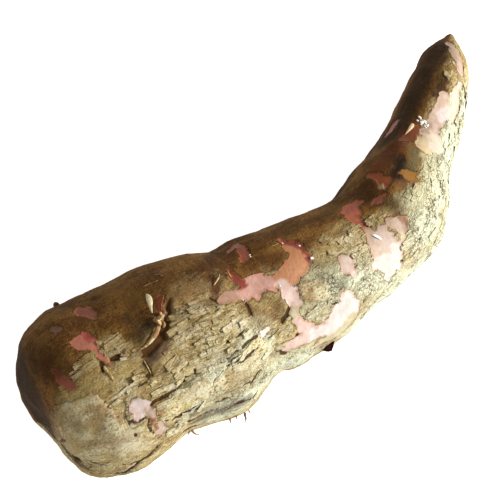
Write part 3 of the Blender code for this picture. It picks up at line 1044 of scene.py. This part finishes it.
def makeDrawn(shape):
    # finish holds what plainFinish takes, rough holds mm and a seed
    pieces = [drawOut(stops, *shape["section"]) for stops in shape["lines"]]
    piece = joinAs(shape["name"], pieces)
    if "rough" in shape:
        roughen(piece, *shape["rough"])
    fitOut(piece, plainFinish(*shape["finish"]))


# in each of these a line is (mm along, degrees round, mm off the skin, width in mm) at each turn
# and section is thickness over width, then how many sides and how many degrees of twist at each turn

sliver = {
    "name": "torn_sliver",
    "lines": [[(64.5, 74.5, 1.4, 0.4), (64.5, 77, 2.2, 2.0), (64, 80, 2.6, 3.0), (63.5, 83, 2.4, 2.8),
               (62.5, 86, 1.6, 1.5), (62, 89, 0.6, 0.3)]],
    "section": (0.36,),
    "finish": ("torn_fibre", "d8cca0", "eee6c8", 500, 0.7, 0.3),
}
makeDrawn(sliver)

edge = {
    "name": "curled_edge",
    "lines": [[(63, 95, 1.2, 1.2), (60.5, 97.5, 1.8, 2.0), (58, 100, 2.0, 2.0), (55, 102, 1.8, 1.5),
               (52, 104, 1.4, 1.0), (49, 105, 0.6, 0.3)]],
    "section": (0.35, 8, 9),
    "rough": (0.16, 3),
    "finish": ("curled_bark", "c8a878", "e6d8b0", 420, 0.75, 0.4, "a06a3c"),
}
makeDrawn(edge)

rim = {
    "name": "recess_rim",
    "lines": [[(71, 80, 0.3, 0.4), (69.5, 83, 0.8, 0.7), (67.5, 86.5, 1.0, 0.7), (66, 90, 0.6, 0.4)]],
    "section": (0.5,),
    "finish": ("thin_skin", "8a5238", "b07c58", 500, 0.5, 0.2),
}
makeDrawn(rim)

curling = {
    "spots": [(60, 98, 0.6, 1.5), (62, 95.5, 1.0, 1.9), (64, 94, 1.2, 2.0), (64, 98, 0.8, 1.5),
              (65, 91.5, 0.6, 1.3), (61.5, 93, 0.8, 1.3)],      # mm along, degrees, mm off the skin, radius
    "scale": (1.2, 0.7, 0.5),
    "turn": (0.7, 0.4, 1.3),        # radians more from each curl to the next
    "crumple": 0.34,                # mm for each mm of radius
    "rough": (0.14, 2),
    "finish": ("crumpled_bark", "b09068", "dcc69c", 450, 0.85, 0.6, "9a6034"),
}


def makeCurls():
    curls = []
    for i, (along, degrees, lift, radius) in enumerate(curling["spots"]):
        turn = [angle * i for angle in curling["turn"]]
        at = placeOn(along, degrees, lift)[0]
        curls.append(makeLump(radius, curling["scale"], turn, at, curling["crumple"], i + 1))
    curls = joinAs("torn_curls", curls)
    useModifier(curls, "SUBSURF", levels=2, render_levels=2)
    roughen(curls, *curling["rough"])
    bpy.ops.object.shade_smooth()
    fitOut(curls, plainFinish(*curling["finish"]))


makeCurls()
print("torn bark made")

scar = {
    "place": (133.5, 189.5, -0.8),      # mm along, degrees round, mm off the skin
    "radius": 5.2,
    "thickness": 1.2,
    "scale": (0.95, 0.85, 1),
    "rise": [(0.8, 0.86), (0.9, 0.68), (0.8, 0.4)],     # mm up, then how much of the width is left
    "wall": 0.3,                        # mm of rim round the sunken top
    "sunk": 0.6,
    "edge": 0.35,
    "rough": [(0.5, 4), (0.14, 8)],     # mm and seed
    "finish": ("scar_red", "3a0c0a", "64201c", 380, 0.6, 0.7),
}


def makeScar():
    # the dark red scar of a broken rootlet: a low three-sided wedge with a sunken, jagged top
    base, normal = placeOn(*scar["place"])
    deselect()
    bpy.ops.mesh.primitive_cylinder_add(vertices=3, radius=scar["radius"] * mm, depth=scar["thickness"] * mm)
    turn = normal.to_track_quat("Z", "X").to_euler()
    piece = putInPlace(bpy.context.object, scar["scale"], turn, base * mm)
    piece.name = "rootlet_scar"
    editAll(piece)
    bpy.ops.mesh.select_all(action="DESELECT")
    leaveEdit()
    for face in piece.data.polygons:
        face.select = face.normal.dot(normal) > 0.9
    bpy.ops.object.mode_set(mode="EDIT")
    for lift, size in scar["rise"]:
        bpy.ops.mesh.extrude_region_move(TRANSFORM_OT_translate={"value": normal * lift * mm})
        bpy.ops.transform.resize(value=(size, size, size))
    bpy.ops.mesh.inset(thickness=scar["wall"] * mm)
    bpy.ops.transform.translate(value=normal * -scar["sunk"] * mm)
    leaveEdit()
    sortPoints(piece)
    useModifier(piece, "BEVEL", width=scar["edge"] * mm, segments=2)
    useModifier(piece, "SUBSURF", subdivision_type="SIMPLE", levels=3, render_levels=3)
    for by, seed in scar["rough"]:
        roughen(piece, by, seed)
    bpy.ops.object.shade_smooth()
    fitOut(piece, plainFinish(*scar["finish"]))


makeScar()
print("rootlet scar made")

rootlets = {
    "name": "rootlet_stubs",
    "lines": [
        [(58, 187, -0.3, 1.8), (58, 190, 1.2, 1.2), (59, 192, 2.6, 0.7), (61, 193, 3.2, 0.2)],
        [(57, 188, -0.3, 1.4), (56, 191, 1.0, 0.8), (56, 193, 1.8, 0.2)],
        [(77, 199, -0.3, 1.4), (77, 203, 1.2, 0.8), (76.5, 206, 2.4, 0.2)],
        [(80, 199, -0.3, 1.0), (80, 203, 0.9, 0.5), (80.5, 205, 1.6, 0.2)],
        [(84, 198, -0.3, 1.8), (84, 203, 2.0, 1.2), (84, 207, 4.0, 0.6), (83, 209, 5.0, 0.2)],
        [(86, 197, -0.3, 1.2), (86, 201, 1.4, 0.7), (86.5, 204, 2.6, 0.2)],
        [(31, 27, -0.4, 4.4), (31, 25, 1.4, 3.0), (31, 23, 2.2, 1.2)],
        [(7, 141, -0.4, 3.0), (5, 144, 0.9, 1.6)],
    ],
    "section": (0.7, 6),
    "rough": (0.12, 5),
    "finish": ("rootlet_brown", "6a4c3a", "947860", 500, 0.85, 0.4),
}
makeDrawn(rootlets)

fibres = {
    "name": "loose_fibres",
    "lines": [
        [(92, 88, 0.2, 0.9), (95, 86, 1.0, 0.8), (97, 84, 1.4, 0.6), (98, 81, 1.0, 0.2)],
        [(97, 84, 1.2, 0.6), (99, 85, 1.6, 0.2)],
        [(73, 60, 0.1, 0.3), (75, 62, 0.6, 0.4), (76, 65, 0.3, 0.2)],
        [(65, 66, 0.1, 0.3), (69, 67, 0.7, 0.4), (73, 67, 0.3, 0.2)],
        [(103, 79, 0.1, 0.4), (102, 84, 0.5, 0.6), (102, 89, 0.2, 0.3)],
        [(33, 104, 0.2, 1.0), (33, 107, 0.6, 1.7), (33.5, 111, 0.6, 1.4), (34, 115, 0.1, 0.4)],
        [(49, 112, 0.1, 0.4), (49, 117, 0.7, 0.8), (49, 122, 0.3, 0.4)],
        [(127, 75, 0.1, 0.3), (129, 76, 0.6, 0.4), (132, 75, 0.3, 0.2)],
        [(196, 85, 0.1, 0.3), (198, 82, 0.6, 0.7), (200, 80, 0.2, 0.3)],
    ],
    "section": (0.5, 6),
    "rough": (0.08, 6),
    "finish": ("fibre_tan", "a08450", "d8c48e", 400, 0.8, 0.3),
}
makeDrawn(fibres)

chip = {
    "name": "cream_chip",
    "lines": [[(249, 78, 0.4, 0.6), (247.5, 79, 1.0, 2.4), (245, 79, 1.0, 2.6), (242, 77.5, 0.5, 1.1),
               (239, 76, 0.2, 0.3)]],
    "section": (0.45,),
    "rough": (0.08, 4),
    "finish": ("chip_cream", "d8b890", "eed8b8", 400, 0.6, 0.3),
}
makeDrawn(chip)
print("rootlets and fibres drawn out")

sapAndGlints = {
    "drops": [      # mm along, degrees, how many, spread in mm, largest radius in mm
        # the first three clusters are dried sap; the other drops are painted glints, white beads where the
        # wet flesh shines
        (254, 87, 9, 2.2, 1.0), (252, 92, 9, 2.0, 0.9), (251, 97, 4, 1.2, 0.7), (116, 75, 2, 0.6, 0.8),
        (140, 86, 2, 0.7, 0.8), (140, 99, 2, 0.6, 0.8), (134, 75, 2, 0.7, 0.5), (120, 107, 1, 0.2, 0.7),
        (101, 105, 1, 0.2, 0.5),
    ],
    "lift": 0.1,
    "flat": 0.5,            # height over width
    "uneven": 0.15,         # mm for each mm of radius
    # a painted glint: a white streak where the wet flesh shines
    "streak": [(173, 109, 0.1, 0.7), (174, 112, 0.5, 1.7), (175, 116, 0.5, 1.5), (175.5, 119, 0.1, 0.5)],
    "finish": ("sap_and_glint_white", "dcdcda", "f6f6f2", 600, 0.3, 0.2),
}


def dropSapAndGlints():
    draw = random.Random(14)
    drops = []
    for along, degrees, howMany, spread, radius in sapAndGlints["drops"]:
        for _ in range(howMany):
            spot, normal = placeOn(along, degrees, sapAndGlints["lift"])
            spot += Vector([draw.uniform(-0.5, 0.5) * spread * 2 for _ in range(3)]).cross(normal)
            size = radius * draw.uniform(0.5, 1)
            scale = (1, draw.uniform(0.6, 1), sapAndGlints["flat"])
            turn = normal.to_track_quat("Z", "Y").to_euler()
            drops.append(makeLump(size, scale, turn, spot, sapAndGlints["uneven"], draw.randrange(1, 99)))
            bpy.ops.object.shade_smooth()
    drops.append(drawOut(sapAndGlints["streak"], 0.35))
    fitOut(joinAs("sap_and_painted_glints", drops), plainFinish(*sapAndGlints["finish"]))


dropSapAndGlints()
print("sap dropped on")

flaking = {
    "howMany": 300,
    "blanks": 6,                # differently crumpled ones to copy
    "crumple": 0.16,            # over the blank's width
    "reach": (14, 296),         # mm along
    "above": (1, 68),           # degrees past the brown edge, and how many more it reaches
    "sparse": (130, 0.35),      # mm along, and the share laid beyond
    "length": (2.4, 7.5),       # mm
    "slender": (0.22, 0.5),     # width over length
    "thickness": 0.3,           # mm
    "lift": (0, 10),            # degrees by which an edge stands up
    "pitch": (-5, 5),           # degrees by which an end does
    "spin": 15,                 # degrees out of line with the root, more or less
    "sunk": 0.12,               # mm from the skin to the middle of a flake
    "clear": 1.2,               # mm from a scraped place
    "unmarked": 0.25,           # how worn, torn, stained or darkened by painted shade the skin under one may be
}


def makeFlake(seed):
    deselect()
    bpy.ops.mesh.primitive_cube_add(size=1)
    flake = bpy.context.object
    editAll(flake)
    bpy.ops.mesh.subdivide(number_cuts=2)
    bpy.ops.transform.vertex_random(offset=flaking["crumple"], uniform=0, normal=0, seed=seed)
    leaveEdit()
    for face in flake.data.polygons:
        face.use_smooth = False
    return flake


def layFlakes():
    draw = random.Random(31)
    blanks = [makeFlake(seed + 1) for seed in range(flaking["blanks"])]
    laid = []
    while len(laid) < flaking["howMany"]:
        along = draw.uniform(*flaking["reach"])
        edgeHere = np.interp(along, *zip(*brownEdge))
        degrees = edgeHere + flaking["above"][0] + flaking["above"][1] * draw.random() ** 1.4
        chance = 1.0 if along < flaking["sparse"][0] else flaking["sparse"][1]
        if draw.random() > chance:
            continue
        spot, normal = placeOn(along, degrees, flaking["sunk"])
        point = skinPointAt(spot)
        marked = max(worn[point], stainedAndShaded[point], groove[point] * 5)
        if bareness[point] < flaking["clear"] or marked > flaking["unmarked"]:
            continue
        ahead = (placeOn(along + 2, degrees)[0] - placeOn(along - 2, degrees)[0]).normalized()
        side = normal.cross(ahead).normalized()
        axes = Matrix((side.cross(normal), side, normal)).transposed()
        spin = Matrix.Rotation(math.radians(draw.gauss(0, flaking["spin"])), 3, "Z")
        tilt = Matrix.Rotation(math.radians(draw.choice((-1, 1)) * draw.uniform(*flaking["lift"])), 3, "X")
        pitch = Matrix.Rotation(math.radians(draw.uniform(*flaking["pitch"])), 3, "Y")
        length = draw.uniform(*flaking["length"])
        flake = draw.choice(blanks).copy()
        flake.data = flake.data.copy()
        bpy.context.collection.objects.link(flake)
        size = Matrix.Diagonal((length, length * draw.uniform(*flaking["slender"]), flaking["thickness"]))
        shape = (axes @ spin @ tilt @ pitch @ size * mm).to_4x4()
        flake.matrix_world = Matrix.LocRotScale(spot * mm, None, None) @ shape
        laid.append(flake)
    selectOnly(laid[0])
    for flake in laid:
        flake.select_set(True)
    bpy.ops.object.transform_apply(location=True, rotation=True, scale=True)
    for blank in blanks:
        bpy.data.objects.remove(blank)
    return joinAs("cork_flakes", laid)


def finishFlakes(flakes):
    # they take the bark's finish, with what it reads copied from the nearest point of the skin
    places = readVectors(flakes.data.vertices, "co") / mm
    nearest = [skinPointAt(Vector(place)) for place in places]
    storeOn(flakes, "grain", straighten(places))
    for name, share in (("paleness", 1), ("stainedAndShaded", 1), ("stainAndShadeColour", 1), ("brownness", 0.6), ("litSide", 1)):
        storeOn(flakes, name, laidOut[name][nearest] * share)
    for name, value in (("bareness", 50), ("crackGap", 9), ("plateGap", 1), ("level", 0.9)):
        storeOn(flakes, name, np.full(len(places), value))
    fitOut(flakes, skinFinish)


flakes = layFlakes()
finishFlakes(flakes)
print("cork flakes laid:", len(flakes.data.polygons), "faces")


# floor, light and camera

studio = {
    "floorWidth": 4.0,
    "floorColour": (0.86, 0.86, 0.85),
    "floorGlow": 0.8,
    "sky": 0.42,
    "skyColour": (1, 0.97, 0.93, 1),
    "keyPower": 39,
    "keySize": 0.4,
    "keyColour": (1, 0.985, 0.95),
    "keyFrom": (1.02, -1.08, 0.60),
    "aim": (-0.025, 0.015, 0.030),
    "lens": 85,
    "away": 0.5785,         # m from the aim to the camera
    "azimuth": -46,
    "elevation": 60,
}


def makeFloor():
    deselect()
    bpy.ops.mesh.primitive_plane_add(size=studio["floorWidth"], location=(0, 0, 0))
    floor = bpy.context.object
    floor.name = "floor"
    f = Finish("pale_floor")
    finish = f.finishWith(Base_Color=studio["floorColour"], Roughness=0.9,
                          Emission_Color=(1.0, 1.0, 1.0), Emission_Strength=studio["floorGlow"])
    floor.data.materials.append(finish)


def hangStudio(name, data, at, towards, axes):
    hung = bpy.data.objects.new(name, data)
    bpy.context.collection.objects.link(hung)
    hung.location = at
    hung.rotation_euler = towards.to_track_quat(*axes).to_euler()
    return hung


makeFloor()
world = bpy.data.worlds.new("studio")
world.use_nodes = True
background = world.node_tree.nodes["Background"]
background.inputs["Color"].default_value = studio["skyColour"]
background.inputs["Strength"].default_value = studio["sky"]
bpy.context.scene.world = world

aim = Vector(studio["aim"])
lamp = bpy.data.lights.new("key", "AREA")
lamp.energy = studio["keyPower"]
lamp.size = studio["keySize"]
lamp.color = studio["keyColour"]
hangStudio("key", lamp, studio["keyFrom"], aim - Vector(studio["keyFrom"]), ("-Z", "Y"))

azimuth, elevation = math.radians(studio["azimuth"]), math.radians(studio["elevation"])
away = Vector((math.sin(azimuth) * math.cos(elevation), -math.cos(azimuth) * math.cos(elevation),
               math.sin(elevation)))
lens = bpy.data.cameras.new("camera")
lens.lens = studio["lens"]
lens.sensor_width = 36
lens.clip_start = 0.01
camera = hangStudio("camera", lens, aim + away * studio["away"], away, ("Z", "Y"))
bpy.context.scene.camera = camera
bpy.context.scene.view_settings.view_transform = "Standard"
bpy.context.scene.view_settings.gamma = 0.85
print("floor, light and camera placed")
